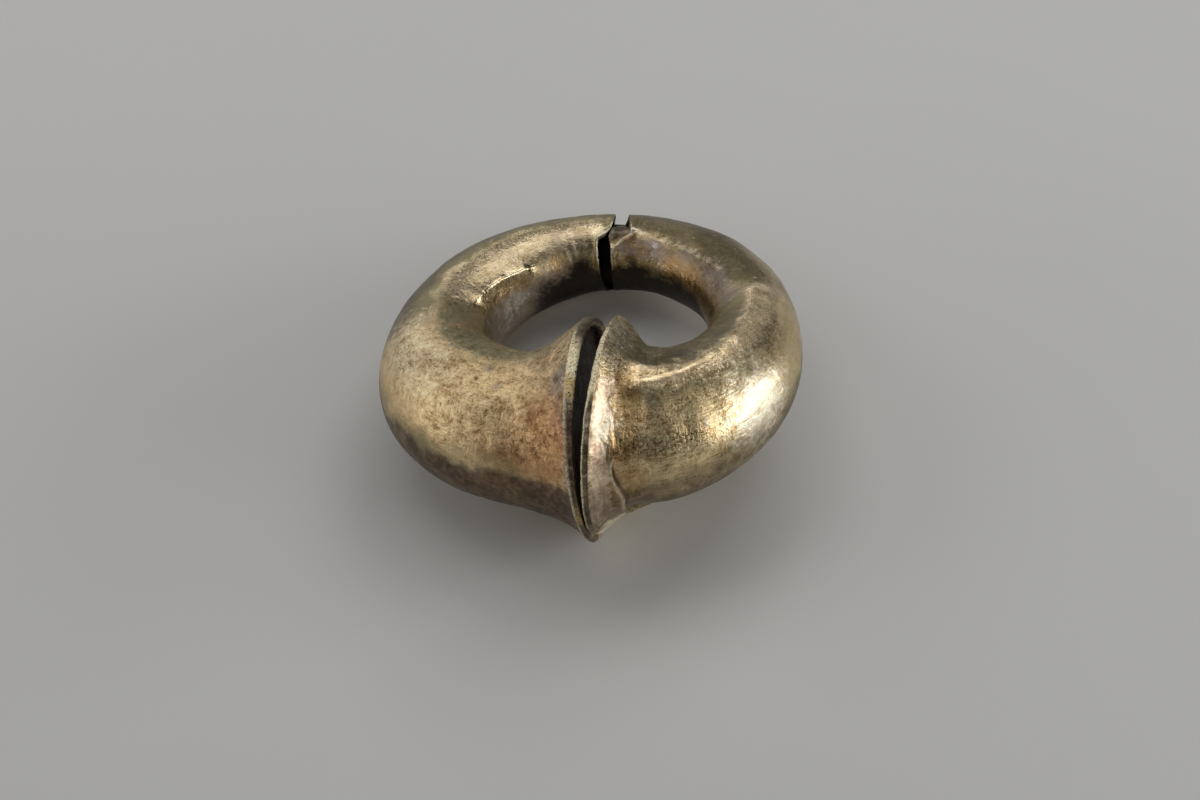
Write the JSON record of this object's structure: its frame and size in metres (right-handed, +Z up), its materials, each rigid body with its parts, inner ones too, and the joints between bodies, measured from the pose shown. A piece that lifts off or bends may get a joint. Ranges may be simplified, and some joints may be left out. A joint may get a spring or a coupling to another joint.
{
  "type": "hollow slit-ring ear ornament",
  "caption": "Hollow sheet-metal slit ring, thin at the back and swelling to flared discs that face each other across the slit that grips the ear lobe.",
  "frame": {"origin": "on the surface that the ring lies on, under the middle of its bounding box", "axes": "+Z up from the surface; -Y towards the slit and its two discs; +X towards the ring's thinner arm"},
  "size_m": [0.0318, 0.0328, 0.0168],
  "materials": {
    "gold_alloy": "worn satin gold alloy with brown and reddish patina"
  },
  "bodies": {
    "root": {"ring": "gold_alloy"}
  },
  "joints": []
}
